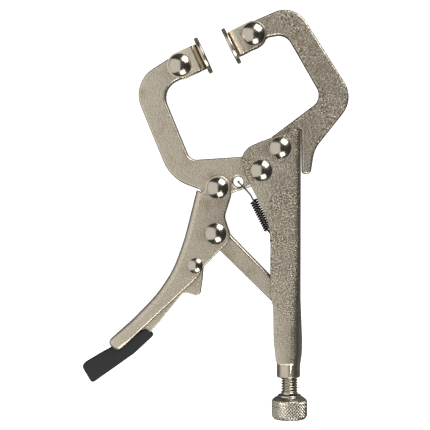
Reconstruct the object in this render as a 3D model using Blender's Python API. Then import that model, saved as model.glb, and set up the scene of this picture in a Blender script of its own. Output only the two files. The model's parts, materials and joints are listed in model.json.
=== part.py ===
"""Small locking pliers with a C-shaped clamping mouth and two swivelling round pads.

The tool lies flat: X to the right, Y towards the jaws, Z up through the rivets. Every rivet axis is
parallel to Z. The origin is the middle of the footprint, at the height of the surface it lies on.
Sizes below are millimetres, and so are the shapes, until place() turns them into metres.
"""

import math

import bmesh
import bpy
from mathutils import Matrix, Vector

MM = 0.001

# Driving dimensions
JAW_THICK = 5.5
LINK_THICK = 5.0
RELEASE_THICK = 3.0
GRIP_THICK = 5.5
SHEET = 1.3
CHANNEL_GAP = 6.1
EAR_GAP = 6.1
EAR_SHEET = 1.2
PLAY = 0.3
SPINE_BEND = 2.0

PAD_RADIUS = 7.15
PAD_THICK = 1.5
PAD_REACH = 9.15
EAR_RADIUS = 4.7

THREAD_RADIUS = 3.0
SCREW_TIP_RADIUS = 2.6
KNOB_RADIUS = 6.65
COLLAR_RADIUS = 4.3

WIRE_RADIUS = 0.33
COIL_RADIUS = 1.3
COIL_TURNS = 11

# The height of the middle plane above the surface the pads lie on
MID_Z = PAD_RADIUS

# Pivots and axes in the middle plane (x, y)
JAW_PIVOT = (17.0, 16.25)
JAW_RIVET = (23.9, 24.5)
LEVER_PIVOT = (1.05, 9.85)
TOGGLE_PIVOT = (0.3, -6.8)
LINK_END = (26.45, -32.95)
RELEASE_PIVOT = (-7.1, -18.5)
MOVING_PAD_PIVOT = (-12.7, 54.7)
FIXED_PAD_PIVOT = (14.05, 66.0)
SPRING_HOLE = (8.5, 12.2)
SPRING_POST = (21.6, -9.4)
SCREW_X = 27.3
COLLAR_X = 26.95

# The way each pad faces, as an angle from +X
FIXED_PAD_FACES = math.radians(206.5)
MOVING_PAD_FACES = math.radians(24.5)

# Where the screw's steps lie along Y, top to bottom
SCREW_TIP_Y = -38.0
THREAD_TOP_Y = -57.0
COLLAR_TOP_Y = -52.0
COLLAR_END_Y = -59.7
THREAD_END_Y = -65.9
KNOB_TOP_Y = -66.2
KNOB_END_Y = -75.05

# Rivets: shank radius, head radius, head height
MAIN_RIVET = (2.4, 3.9, 1.85)
PAD_RIVET = (2.2, 4.2, 1.95)
SMALL_RIVET = (1.5, 2.7, 1.1)

ARC_STEP = math.radians(15)
ROUND_SIDES = 24

# Outlines as corners (x, y, radius), clockwise or not as they come
FIXED_JAW = [
    (7.0, 67.8, 4.0), (29.0, 77.4, 9.2), (51.1, 42.5, 9.9), (36.4, 24.0, 11.0),
    (35.0, 15.0, 1.5), (31.9, 15.0, 1.1), (31.8, 31.6, 0.4), (29.6, 31.6, 0.4), (29.6, 20.8, 0.4),
    (25.9, 19.7, 4.0), (20.1, 20.5, 4.0), (19.7, 27.8, 2.9), (39.5, 42.6, 5.1), (25.9, 66.2, 5.1),
    (19.3, 65.1, 1.8), (16.0, 61.3, 2.9), (10.6, 59.2, 4.0),
]
MOVING_JAW = [
    (-8.3, 62.8, 5.0), (-30.8, 48.5, 11.3), (-16.4, 13.2, 15.4), (-5.5, 9.3, 1.1),
    (-3.0, 5.6, 2.4), (4.2, 5.6, 2.4), (6.0, 7.9, 0.9), (16.8, 11.7, 4.4), (22.4, 11.3, 4.2),
    (22.4, 22.2, 4.8), (-9.2, 20.1, 3.7), (-20.0, 46.2, 6.6), (-11.4, 50.5, 2.2), (-5.8, 52.6, 3.6),
]
MAIN_HANDLE = [
    (31.4, 31.0, 0.4), (28.1, 31.0, 2.9), (16.0, 26.6, 7.3), (7.2, 22.7, 6.8), (20.4, -3.7, 29.3),
    (20.2, -25.7, 7.3), (20.3, -29.7, 2.9), (21.3, -33.3, 2.9), (21.5, -45.8, 7.3), (22.6, -53.5, 2.2),
    (22.6, -55.0, 0.0), (31.2, -55.0, 0.0), (32.0, -51.6, 2.2), (32.0, -45.8, 11.0), (31.4, -31.1, 11.0),
]
LEVER = [
    (5.8, 14.6, 4.7), (-3.7, 14.6, 4.7), (-3.8, 9.3, 0.4), (-5.2, 8.3, 0.4), (-6.8, 8.9, 0.3),
    (-14.3, -21.8, 38.0), (-30.6, -38.6, 20.0), (-39.7, -46.7, 1.5), (-36.0, -50.5, 2.2),
    (-6.5, -22.9, 3.7), (-3.9, -18.8, 3.7), (6.0, -8.7, 3.3), (3.3, -0.8, 4.4), (5.8, 6.9, 5.5),
]
RELEASE_LEVER = [
    (-4.2, -17.2, 2.2), (-4.7, -23.8, 3.7), (-5.6, -30.2, 1.5), (-11.4, -28.2, 2.9), (-22.6, -41.9, 2.2),
    (-25.6, -45.8, 2.0), (-42.9, -57.2, 1.0), (-45.1, -54.0, 1.0), (-27.8, -42.8, 2.0),
    (-13.7, -27.4, 3.7), (-10.7, -17.2, 2.9), (-7.0, -14.9, 2.9),
]
GRIP = [
    (-25.6, -41.8, 0.5), (-22.6, -44.3, 0.7), (-29.7, -50.9, 3.7), (-45.4, -62.1, 0.9),
    (-49.5, -55.3, 1.8), (-42.5, -51.1, 2.9),
]
# The pocket in the grip, round the release lever's tail, open at the lip
GRIP_POCKET = [
    (-20.0, -42.5, 0.0), (-25.5, -46.2, 2.0), (-43.0, -57.7, 1.0), (-45.7, -53.8, 1.0),
    (-28.0, -42.4, 2.0), (-24.5, -39.0, 0.0),
]
# The space between the two walls of each channel, open on the side away from the spine
HANDLE_CAVITY = [
    (30.1, 34.0, 0.0), (4.0, 34.0, 0.0), (4.0, -4.0, 0.0), (17.0, -51.0, 0.0), (23.6, -53.6, 0.0),
    (30.1, -53.6, 0.0),
]
LEVER_CAVITY = [
    (-5.5, 18.0, 0.0), (-5.5, 9.2, 0.0), (-13.1, -22.4, 36.7), (-29.7, -39.5, 20.0),
    (-41.8, -50.4, 0.0), (-40.0, -56.0, 0.0), (10.0, -16.0, 0.0), (10.0, 18.0, 0.0),
]

FINISHES = {
    "blasted_nickel": ("#A39A88", 0.42, 1.0),
    "plated_nickel": ("#B8B09D", 0.3, 1.0),
    "polished_nickel": ("#C9C3B4", 0.15, 1.0),
    "black_spring_wire": ("#232323", 0.35, 0.8),
    "black_vinyl": ("#1E1E1E", 0.5, 0.0),
}


def linear(channel):
    """One sRGB channel, 0 to 1, as linear light."""
    return channel / 12.92 if channel <= 0.04045 else ((channel + 0.055) / 1.055) ** 2.4


def finish(name):
    """The Principled material of this name, made once."""
    found = bpy.data.materials.get(name)
    if found:
        return found
    colour, roughness, metallic = FINISHES[name]
    made = bpy.data.materials.new(name)
    made.use_nodes = True
    shader = made.node_tree.nodes["Principled BSDF"]
    rgb = [linear(int(colour[i : i + 2], 16) / 255) for i in (1, 3, 5)]
    shader.inputs["Base Color"].default_value = (*rgb, 1.0)
    shader.inputs["Roughness"].default_value = roughness
    shader.inputs["Metallic"].default_value = metallic
    return made


def rounded(corners):
    """The corners (x, y, radius) as a list of points, each corner replaced by its arc."""
    points = []
    for i, (x, y, radius) in enumerate(corners):
        corner = Vector((x, y))
        before = (Vector(corners[i - 1][:2]) - corner).normalized()
        after = (Vector(corners[(i + 1) % len(corners)][:2]) - corner).normalized()
        half = math.acos(max(-1.0, min(1.0, before.dot(after)))) / 2
        turn = math.pi - 2 * half
        if radius == 0 or turn < 0.01:
            points.append(corner)
            continue
        reach = radius / math.tan(half)
        middle = corner + (before + after).normalized() * (radius / math.sin(half))
        start = corner + before * reach - middle
        side = math.copysign(1.0, start.cross(after - before))
        steps = max(2, math.ceil(turn / ARC_STEP))
        for step in range(steps + 1):
            swing = Matrix.Rotation(side * turn * step / steps, 2)
            points.append(middle + swing @ start)
    return points


def circle(centre, radius, sides=ROUND_SIDES):
    """Points round a circle in the middle plane."""
    angles = [2 * math.pi * i / sides for i in range(sides)]
    return [Vector((centre[0] + radius * math.cos(a), centre[1] + radius * math.sin(a))) for a in angles]


def prism(outline, low, high, holes=()):
    """A flat plate with this outline and holes, from low to high above the middle plane."""
    shape = bmesh.new()
    edges = []
    for loop in (outline, *holes):
        corners = [shape.verts.new((p[0], p[1], MID_Z + low)) for p in loop]
        edges += [shape.edges.new((corners[i - 1], corners[i])) for i in range(len(corners))]
    filled = bmesh.ops.triangle_fill(shape, use_beauty=True, normal=(0, 0, 1), edges=edges)
    faces = [item for item in filled["geom"] if isinstance(item, bmesh.types.BMFace)]
    raised = bmesh.ops.extrude_face_region(shape, geom=faces)
    moved = [item for item in raised["geom"] if isinstance(item, bmesh.types.BMVert)]
    bmesh.ops.translate(shape, verts=moved, vec=(0, 0, high - low))
    bmesh.ops.recalc_face_normals(shape, faces=shape.faces)
    return shape


def turned(profile, centre, along, sides=ROUND_SIDES):
    """A solid of revolution: profile is (radius, height) from pole to pole along the axis given."""
    shape = bmesh.new()
    verts = [shape.verts.new((r, 0, h)) for r, h in profile]
    edges = [shape.edges.new(pair) for pair in zip(verts, verts[1:])]
    bmesh.ops.spin(
        shape, geom=verts + edges, axis=(0, 0, 1), cent=(0, 0, 0), angle=2 * math.pi,
        steps=sides, use_merge=True,
    )
    bmesh.ops.remove_doubles(shape, verts=shape.verts, dist=1e-4)
    bmesh.ops.recalc_face_normals(shape, faces=shape.faces)
    aim = Vector((0, 0, 1)).rotation_difference(Vector(along)).to_matrix().to_4x4()
    bmesh.ops.transform(shape, matrix=Matrix.Translation(centre) @ aim, verts=shape.verts)
    return shape


def soften(shape, radius, chosen):
    """Rounds the plate's rim edges whose two ends are both chosen."""
    edges = [
        e for e in shape.edges
        if abs(e.verts[0].co.z - e.verts[1].co.z) < 1e-4 and all(chosen(v.co) for v in e.verts)
        and len(e.link_faces) == 2 and e.calc_face_angle() > 1.0
    ]
    bmesh.ops.bevel(shape, geom=edges, offset=radius, segments=3, profile=0.5, affect="EDGES")


def place(name, shape, origin, material):
    """Makes the object, with its own origin on its joint's axis or at its rivet."""
    at = Vector(origin)
    bmesh.ops.translate(shape, verts=shape.verts, vec=-at)
    bmesh.ops.scale(shape, verts=shape.verts, vec=(MM, MM, MM))
    mesh = bpy.data.meshes.new(name)
    shape.to_mesh(mesh)
    shape.free()
    mesh.materials.append(finish(material))
    made = bpy.data.objects.new(name, mesh)
    made.location = at * MM
    bpy.context.scene.collection.objects.link(made)
    return made


def smooth(made):
    """Shades a round piece smooth between its sharp edges."""
    made.data.shade_smooth()
    made.data.set_sharp_from_angle(angle=math.radians(40))


def cut_or_join(made, shape, operation):
    """Adds a Boolean with a helper of this shape, which is left out of renders."""
    helper = place(f"{made.name}_{operation.lower()}_{len(made.modifiers)}", shape, (0, 0, 0), "plated_nickel")
    helper.hide_render = True
    helper.display_type = "WIRE"
    modifier = made.modifiers.new(helper.name, "BOOLEAN")
    modifier.operation = operation
    modifier.solver = "EXACT"
    modifier.object = helper


def at_height(point, height=0.0):
    """A point of the middle plane, or this far above it."""
    return (point[0], point[1], MID_Z + height)


def bore(point, radius):
    """A hole with play round a rivet of this shank radius."""
    return circle(point, radius + PLAY, 16)


def rivet(name, point, size, face):
    """A rivet with two domed heads that stand just clear of the outer faces, face above the middle."""
    shank, head, height = size
    rim = face + PLAY
    dome = [
        (head * math.cos(a), rim + height * (0.25 + 0.75 * math.sin(a)))
        for a in (0.0, 0.6, 1.1)
    ]
    upper = [(shank, rim), (head, rim), *dome, (0.0, rim + height)]
    lower = [(r, -h) for r, h in reversed(upper)]
    shape = turned(lower + upper, at_height(point), (0, 0, 1), 16)
    made = place(name, shape, at_height(point), "polished_nickel")
    smooth(made)
    return made


def fixed_jaw():
    """The bent jaw plate: its neck is riveted in the channel and its tail hooks over the spine."""
    holes = [bore(JAW_RIVET, MAIN_RIVET[0]), bore(FIXED_PAD_PIVOT, PAD_RIVET[0])]
    shape = prism(rounded(FIXED_JAW), -JAW_THICK / 2, JAW_THICK / 2, holes)
    return place("fixed_jaw", shape, at_height(JAW_RIVET), "blasted_nickel")


def moving_jaw():
    """The swinging jaw plate, on its pivot in the handle, with a lug for the lever and the spring's hole."""
    holes = [
        bore(JAW_PIVOT, MAIN_RIVET[0]), bore(LEVER_PIVOT, MAIN_RIVET[0]),
        bore(MOVING_PAD_PIVOT, PAD_RIVET[0]), circle(SPRING_HOLE, 1.9, 16),
    ]
    shape = prism(rounded(MOVING_JAW), -JAW_THICK / 2, JAW_THICK / 2, holes)
    return place("moving_jaw", shape, at_height(JAW_PIVOT), "plated_nickel")


def main_handle():
    """The long channel: two cheeks, a rounded spine at +X, and a neck rolled into the screw's collar."""
    outside = CHANNEL_GAP / 2 + SHEET
    holes = [bore(JAW_PIVOT, MAIN_RIVET[0]), bore(JAW_RIVET, MAIN_RIVET[0])]
    shape = prism(rounded(MAIN_HANDLE), -outside, outside, holes)
    soften(shape, SPINE_BEND, lambda v: v.x > 31.15 and v.y < 30.9)
    made = place("main_handle", shape, at_height(JAW_PIVOT), "blasted_nickel")
    collar = [(0.0, COLLAR_END_Y), (COLLAR_RADIUS, COLLAR_END_Y), (COLLAR_RADIUS, COLLAR_TOP_Y), (0.0, COLLAR_TOP_Y)]
    cut_or_join(made, turned(collar, (COLLAR_X, 0, MID_Z), (0, 1, 0)), "UNION")
    cavity = prism(rounded(HANDLE_CAVITY), -CHANNEL_GAP / 2, CHANNEL_GAP / 2)
    cut_or_join(made, cavity, "DIFFERENCE")
    width = THREAD_RADIUS + PLAY
    thread = [(0.0, COLLAR_END_Y - 3), (width, COLLAR_END_Y - 3), (width, COLLAR_TOP_Y + 1), (0.0, COLLAR_TOP_Y + 1)]
    cut_or_join(made, turned(thread, (SCREW_X, 0, MID_Z), (0, 1, 0)), "DIFFERENCE")
    post = prism(circle(SPRING_POST, 0.6, 12), -CHANNEL_GAP / 2 - 0.4, 1.0)
    cut_or_join(made, post, "UNION")
    return made


def lever_handle():
    """The short curved channel: its ears straddle the moving jaw and its spine is on the -X side."""
    outside = CHANNEL_GAP / 2 + SHEET
    holes = [
        bore(LEVER_PIVOT, MAIN_RIVET[0]), bore(TOGGLE_PIVOT, MAIN_RIVET[0]),
        bore(RELEASE_PIVOT, SMALL_RIVET[0]),
    ]
    outline = rounded(LEVER)
    shape = prism(outline, -outside, outside, holes)
    spine = [p for p in outline if -46.2 < p.y < 8.9 and p.x < spine_x(p.y) + 0.6]

    def on_spine(v):
        return any((Vector((v.x, v.y)) - p).length < 0.02 for p in spine)

    soften(shape, SPINE_BEND * 0.8, on_spine)
    made = place("lever_handle", shape, at_height(LEVER_PIVOT), "plated_nickel")
    cut_or_join(made, prism(rounded(LEVER_CAVITY), -CHANNEL_GAP / 2, CHANNEL_GAP / 2), "DIFFERENCE")
    return made


def spine_x(y):
    """A little inside the X of the lever's spine at this Y, read along its straight runs."""
    runs = LEVER[4:8]
    first, second = next(pair for pair in zip(runs, runs[1:]) if y > pair[1][1])
    return first[0] + (second[0] - first[0]) * (y - first[1]) / (second[1] - first[1]) + 2.5


def toggle_link():
    """The straight bar from the lever to the screw's tip, narrower at its far end."""
    start, end = Vector(TOGGLE_PIVOT), Vector(LINK_END)
    along = (end - start).normalized()
    across = Vector((-along.y, along.x))
    wide, narrow = 3.5, 3.0
    corners = [
        start - along * wide + across * wide, start - along * wide - across * wide,
        end + along * narrow - across * narrow, end + along * narrow + across * narrow,
    ]
    radii = [wide, wide, narrow, narrow]
    outline = rounded([(c.x, c.y, r * 0.97) for c, r in zip(corners, radii)])
    shape = prism(outline, -LINK_THICK / 2, LINK_THICK / 2, [bore(TOGGLE_PIVOT, MAIN_RIVET[0])])
    return place("toggle_link", shape, at_height(TOGGLE_PIVOT), "plated_nickel")


def release_lever():
    """The flat release lever inside the curved channel, and the vinyl grip over its tail."""
    plate = prism(
        rounded(RELEASE_LEVER), -RELEASE_THICK / 2, RELEASE_THICK / 2, [bore(RELEASE_PIVOT, SMALL_RIVET[0])]
    )
    lever = place("release_lever", plate, at_height(RELEASE_PIVOT), "plated_nickel")
    grip = place(
        "release_grip", prism(rounded(GRIP), -GRIP_THICK / 2, GRIP_THICK / 2), at_height(RELEASE_PIVOT), "black_vinyl"
    )
    pocket = RELEASE_THICK / 2 + PLAY
    cut_or_join(grip, prism(rounded(GRIP_POCKET), -pocket, pocket), "DIFFERENCE")
    return [lever, grip]


def swivel_pad(name, pivot, faces):
    """A round pad plate and the U bracket behind it, facing along the angle given."""
    turn = Matrix.Translation((*pivot, 0)) @ Matrix.Rotation(faces, 4, "Z")
    back = PAD_REACH - PAD_THICK / 2
    web = back - PLAY
    ear = [(web, -EAR_RADIUS, 0.0), (web, EAR_RADIUS, 0.0), (-EAR_RADIUS, EAR_RADIUS, EAR_RADIUS * 0.97)]
    ear += [(-EAR_RADIUS, -EAR_RADIUS, EAR_RADIUS * 0.97)]
    outside = EAR_GAP / 2 + EAR_SHEET
    bracket = prism(rounded(ear), -outside, outside, [bore((0, 0), PAD_RIVET[0])])
    inner = web - EAR_SHEET
    slot = [(inner, -9.0, 0), (inner, 9.0, 0), (-9.0, 9.0, 0), (-9.0, -9.0, 0)]
    space = prism(rounded(slot), -EAR_GAP / 2, EAR_GAP / 2)
    for shape in (bracket, space):
        bmesh.ops.transform(shape, matrix=turn, verts=shape.verts)
    made = place(f"{name}_bracket", bracket, at_height(pivot), "plated_nickel")
    cut_or_join(made, space, "DIFFERENCE")
    edge = 0.3
    disc = [
        (0.0, back), (PAD_RADIUS - edge, back), (PAD_RADIUS, back + edge),
        (PAD_RADIUS, back + PAD_THICK - edge), (PAD_RADIUS - edge, back + PAD_THICK), (0.0, back + PAD_THICK),
    ]
    plate = turned(disc, at_height(pivot), (math.cos(faces), math.sin(faces), 0))
    pad = place(f"{name}_disc", plate, at_height(pivot), "plated_nickel")
    smooth(pad)
    return [made, pad]


def adjusting_screw():
    """The threaded rod in the collar, and the round knob that turns it."""
    rod = [
        (0.0, THREAD_END_Y), (THREAD_RADIUS, THREAD_END_Y), (THREAD_RADIUS, THREAD_TOP_Y),
        (SCREW_TIP_RADIUS, THREAD_TOP_Y + 0.4), (SCREW_TIP_RADIUS, SCREW_TIP_Y - 1.0),
        (SCREW_TIP_RADIUS - 1.0, SCREW_TIP_Y), (0.0, SCREW_TIP_Y),
    ]
    axis = (SCREW_X, 0, MID_Z)
    screw = place("adjusting_screw", turned(rod, axis, (0, 1, 0)), (SCREW_X, THREAD_END_Y, MID_Z), "plated_nickel")
    smooth(screw)
    rim = 0.9
    knob = [
        (0.0, KNOB_END_Y), (KNOB_RADIUS - rim, KNOB_END_Y), (KNOB_RADIUS, KNOB_END_Y + rim),
        (KNOB_RADIUS, KNOB_TOP_Y - 1.3 - rim), (KNOB_RADIUS - rim, KNOB_TOP_Y - 1.3),
        (4.4, KNOB_TOP_Y - 1.2), (4.2, KNOB_TOP_Y), (0.0, KNOB_TOP_Y),
    ]
    head = place("screw_knob", turned(knob, axis, (0, 1, 0)), (SCREW_X, KNOB_TOP_Y, MID_Z), "plated_nickel")
    smooth(head)
    return [screw, head]


def tension_spring():
    """Wire from the jaw's hole, over its lower edge, down a close coil and round the post in the channel."""
    above = JAW_THICK / 2 + PLAY + WIRE_RADIUS
    coil_start, coil_end = Vector((14.4, 5.0)), Vector((19.2, -5.0))
    along = (coil_end - coil_start).normalized()
    across = Vector((-along.y, along.x))
    points = [
        (*SPRING_HOLE, -above - 0.8), (*SPRING_HOLE, above - 1.0), (SPRING_HOLE[0] + 0.3, SPRING_HOLE[1] - 0.3, above),
        (9.9, 10.8, above + 0.1), (11.2, 9.5, above), (12.3, 8.2, above - 0.8), (13.2, 7.0, 2.0),
    ]
    per_turn = 8
    for i in range(COIL_TURNS * per_turn + 1):
        turn = 2 * math.pi * i / per_turn
        middle = coil_start.lerp(coil_end, i / (COIL_TURNS * per_turn))
        sideways = middle + across * (COIL_RADIUS * math.sin(turn))
        points.append((sideways.x, sideways.y, COIL_RADIUS * math.cos(turn)))
    reach = 0.6 + PLAY + WIRE_RADIUS
    post = Vector(SPRING_POST)
    points.append((*(coil_end + along * 0.9), 0.6))
    for step in range(7):
        angle = math.radians(170 - 45 * step)
        spot = post + along * (reach * -math.cos(angle - math.pi / 2)) + across * (reach * math.sin(angle - math.pi / 2))
        points.append((spot.x, spot.y, 0.0))
    curve = bpy.data.curves.new("tension_spring", "CURVE")
    curve.dimensions = "3D"
    curve.bevel_depth = WIRE_RADIUS * MM
    curve.bevel_resolution = 1
    curve.use_fill_caps = True
    wire = curve.splines.new("POLY")
    wire.points.add(len(points) - 1)
    for knot, (x, y, z) in zip(wire.points, points):
        knot.co = (x * MM, y * MM, (z + MID_Z) * MM, 1.0)
    curve.materials.append(finish("black_spring_wire"))
    made = bpy.data.objects.new("tension_spring", curve)
    bpy.context.scene.collection.objects.link(made)
    return made


def body(name, at, members):
    """An empty on the joint's axis that carries the pieces of one moving body."""
    holder = bpy.data.objects.new(name, None)
    holder.empty_display_size = 0.01
    holder.location = Vector(at) * MM
    bpy.context.scene.collection.objects.link(holder)
    for piece in members:
        piece.parent = holder
        piece.location -= holder.location
    return holder


def main():
    for thing in list(bpy.data.objects):
        bpy.data.objects.remove(thing, do_unlink=True)
    outside = CHANNEL_GAP / 2 + SHEET
    ears = EAR_GAP / 2 + EAR_SHEET
    main_handle()
    fixed_jaw()
    tension_spring()
    rivet("jaw_pivot_rivet", JAW_PIVOT, MAIN_RIVET, outside)
    rivet("fixed_jaw_rivet", JAW_RIVET, MAIN_RIVET, outside)
    rivet("fixed_pad_rivet", FIXED_PAD_PIVOT, PAD_RIVET, ears)
    body("fixed_pad", at_height(FIXED_PAD_PIVOT), swivel_pad("fixed_pad", FIXED_PAD_PIVOT, FIXED_PAD_FACES))
    screw, knob = adjusting_screw()
    body("screw", (SCREW_X, THREAD_END_Y, MID_Z), [screw, knob])
    jaw_pieces = [
        moving_jaw(), rivet("lever_pivot_rivet", LEVER_PIVOT, MAIN_RIVET, outside),
        rivet("moving_pad_rivet", MOVING_PAD_PIVOT, PAD_RIVET, ears),
    ]
    body("jaw", at_height(JAW_PIVOT), jaw_pieces)
    body("moving_pad", at_height(MOVING_PAD_PIVOT), swivel_pad("moving_pad", MOVING_PAD_PIVOT, MOVING_PAD_FACES))
    lever_pieces = [
        lever_handle(), rivet("toggle_rivet", TOGGLE_PIVOT, MAIN_RIVET, outside),
        rivet("release_rivet", RELEASE_PIVOT, SMALL_RIVET, outside),
    ]
    body("lever", at_height(LEVER_PIVOT), lever_pieces)
    body("link", at_height(TOGGLE_PIVOT), [toggle_link()])
    body("release", at_height(RELEASE_PIVOT), release_lever())


if __name__ == "__main__":
    main()
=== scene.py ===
"""Locking pliers with two swivelling pads: the finished surfaces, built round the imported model.

The file is laid out as an add-on: settings, operators and a sidebar panel. Inside the shape
functions lengths are millimetres in the model's own frame, with X to the right, Y towards the jaws
and Z up through the rivets. A shape is a pair: its points, and its faces as lists of point numbers.
"""

import json
import math

import bmesh
import bpy
import numpy as np
from bpy.props import (
    FloatProperty, FloatVectorProperty, IntProperty, PointerProperty, StringProperty,
)
from mathutils import Matrix, Vector, geometry


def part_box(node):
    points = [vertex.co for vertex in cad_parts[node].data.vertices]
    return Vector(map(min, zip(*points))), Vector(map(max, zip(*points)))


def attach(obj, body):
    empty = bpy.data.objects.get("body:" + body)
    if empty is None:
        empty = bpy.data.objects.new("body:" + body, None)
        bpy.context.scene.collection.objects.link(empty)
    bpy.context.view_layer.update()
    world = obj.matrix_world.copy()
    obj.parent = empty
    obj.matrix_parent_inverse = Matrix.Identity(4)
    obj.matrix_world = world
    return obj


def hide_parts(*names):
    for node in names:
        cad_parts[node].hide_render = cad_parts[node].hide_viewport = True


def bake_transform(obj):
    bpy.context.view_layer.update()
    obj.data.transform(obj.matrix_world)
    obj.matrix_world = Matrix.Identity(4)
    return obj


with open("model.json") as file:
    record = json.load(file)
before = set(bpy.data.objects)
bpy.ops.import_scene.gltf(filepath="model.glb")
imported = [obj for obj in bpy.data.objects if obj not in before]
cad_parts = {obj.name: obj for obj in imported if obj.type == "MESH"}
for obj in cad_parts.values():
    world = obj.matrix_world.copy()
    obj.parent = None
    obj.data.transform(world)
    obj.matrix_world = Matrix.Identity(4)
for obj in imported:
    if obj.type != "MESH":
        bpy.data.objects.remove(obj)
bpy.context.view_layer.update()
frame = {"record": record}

bl_info = {
    "name": "Locking Pliers",
    "version": (1, 0, 0),
    "blender": (4, 5, 0),
    "location": "View3D > Sidebar > Pliers",
    "description": "Builds the surfaces and finishes of a pair of locking pliers with swivel pads",
    "category": "Object",
}

MM = 0.001
BODY_OF = {
    node: body for body, nodes in frame["record"]["behaviour"]["bodies"].items() for node in nodes
}


# Places and sizes read from the frame


def span(node):
    """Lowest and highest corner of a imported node, in millimetres."""
    low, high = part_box(node)
    return np.array(low) / MM, np.array(high) / MM


def middle(node):
    """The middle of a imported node's box, in millimetres."""
    return sum(span(node)) / 2


def half_height(node):
    """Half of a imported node's height, in millimetres."""
    low, high = span(node)
    return (high[2] - low[2]) / 2


MID_Z = middle("main_handle")[2]
JAW_PIVOT = middle("jaw_pivot_rivet")[:2]
JAW_RIVET = middle("fixed_jaw_rivet")[:2]
LEVER_PIVOT = middle("lever_pivot_rivet")[:2]
TOGGLE_PIVOT = middle("toggle_rivet")[:2]
RELEASE_PIVOT = middle("release_rivet")[:2]
FIXED_PAD_PIVOT = middle("fixed_pad_rivet")[:2]
MOVING_PAD_PIVOT = middle("moving_pad_rivet")[:2]
SCREW_X = middle("adjusting_screw")[0]
CHANNEL_HALF = half_height("lever_handle")

# Places inside one node, which its box doesn't give
LINK_END = np.array((26.45, -32.95))
SPRING_HOLE = np.array((8.5, 12.2))
SPRING_POST = np.array((21.6, -9.4))
SPRING_HOLE_RADIUS = 1.9
SPRING_POST_RADIUS = 0.6
# Room between the spring's wire and what it hooks over
HOOK_GAP = 0.3
COIL_START = np.array((14.0, 5.3))
COIL_END = np.array((19.4, -5.4))
COLLAR_X = 26.95
COLLAR_END_Y = -59.7
COLLAR_TOP_Y = -54.4
THREAD_RADIUS = 3.0
# The handle's fold opens from its own radius to the collar's between these heights
NECK_Y = (-12.0, -42.0)
# The lever's fold opens from its tip's radius to its own between these
TIP_Y = (-46.0, -38.0)

# Outlines as corners (x, y, radius)
FIXED_JAW = [
    (7.0, 67.8, 4.0), (29.0, 77.4, 9.2), (51.1, 42.5, 9.9), (36.4, 24.0, 11.0),
    (35.0, 15.0, 1.5), (31.7, 15.0, 1.1), (31.5, 31.2, 0.41), (30.0, 31.2, 0.41), (30.0, 20.8, 1.1),
    (25.9, 19.7, 4.0), (20.1, 20.5, 4.0), (19.7, 27.8, 2.9), (39.5, 42.6, 5.1), (25.9, 66.2, 5.1),
    (19.3, 65.1, 1.8), (16.0, 61.3, 2.9), (10.6, 59.2, 4.0),
]
MOVING_JAW = [
    (-8.3, 62.8, 5.0), (-30.8, 48.5, 11.3), (-16.4, 13.2, 15.4), (-5.5, 9.3, 1.1),
    (-3.0, 5.6, 2.4), (4.2, 5.6, 2.4), (6.0, 7.9, 0.9), (16.8, 11.7, 4.4), (22.4, 11.3, 4.2),
    (22.4, 22.2, 4.8), (-9.2, 20.1, 3.7), (-20.0, 46.2, 6.6), (-11.4, 50.5, 2.2), (-5.8, 52.6, 3.6),
]
RELEASE_PLATE = [
    (-4.2, -17.2, 2.2), (-4.7, -23.8, 3.7), (-5.6, -30.2, 1.5), (-11.4, -28.2, 2.9),
    (-22.6, -41.9, 2.2), (-25.6, -45.8, 2.0), (-42.9, -57.2, 1.0), (-45.1, -54.0, 1.0),
    (-27.8, -42.8, 2.0), (-13.7, -27.4, 3.7), (-10.7, -17.2, 2.9), (-7.0, -14.9, 2.9),
]
GRIP = [
    (-25.6, -41.8, 1.0), (-22.6, -44.3, 1.0), (-29.7, -50.9, 3.7), (-45.4, -62.1, 1.2),
    (-49.5, -55.3, 1.8), (-42.5, -51.1, 2.9),
]
GRIP_POCKET = [
    (-20.0, -42.5, 0.0), (-25.5, -46.2, 2.0), (-43.0, -57.7, 1.0), (-45.7, -53.8, 1.0),
    (-28.0, -42.4, 2.0), (-24.5, -39.0, 0.0),
]
# A channel is a folded sheet: the space inside the fold, less what the sheet's blank leaves out, less
# the space between its cheeks
HANDLE_FOLD = [
    (-5.0, 40.0, 0.0), (31.4, 40.0, 0.0), (31.4, -31.1, 11.0), (32.0, -45.8, 11.0), (31.9, -51.0, 9.0),
    (31.1, -56.5, 0.0), (30.6, -66.0, 0.0), (-5.0, -66.0, 0.0),
]
HANDLE_BLANK = [
    (40.0, 31.0, 0.0), (28.1, 31.0, 2.9), (16.0, 26.6, 7.3), (7.2, 22.7, 6.8), (20.4, -3.7, 29.3),
    (20.2, -25.7, 7.3), (20.3, -29.7, 2.9), (21.3, -33.3, 2.9), (21.5, -45.8, 7.3), (22.3, -53.2, 1.4),
    (23.2, -55.0, 0.8), (40.0, -55.0, 0.0),
]
HANDLE_SPACE = [
    (30.1, 34.0, 0.0), (4.0, 34.0, 0.0), (4.0, -4.0, 0.0), (17.0, -51.0, 0.0), (23.6, -53.6, 0.0),
    (30.1, -53.6, 0.0),
]
LEVER_FOLD = [
    (-1.9, 28.9, 0.0), (-6.8, 8.9, 0.0), (-11.3, -9.0, 60.0), (-15.6, -20.8, 40.0),
    (-22.0, -29.8, 40.0), (-30.6, -38.6, 30.0), (-39.7, -46.7, 1.9), (-36.0, -50.5, 2.3),
    (-1.5, -24.0, 0.0), (40.0, -24.0, 0.0), (40.0, 28.9, 0.0),
]
LEVER_BLANK = [
    (5.8, 14.6, 4.7), (-3.7, 14.6, 4.7), (-3.8, 9.3, 0.7), (-5.2, 8.3, 0.7), (-13.5, 11.4, 0.0),
    (-24.0, -15.0, 0.0), (-48.0, -40.0, 0.0), (-46.0, -59.86, 0.0), (-6.5, -22.9, 3.7),
    (-3.9, -18.8, 3.7), (6.0, -8.7, 3.3), (3.3, -0.8, 4.4), (5.8, 6.9, 5.5),
]
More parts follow.
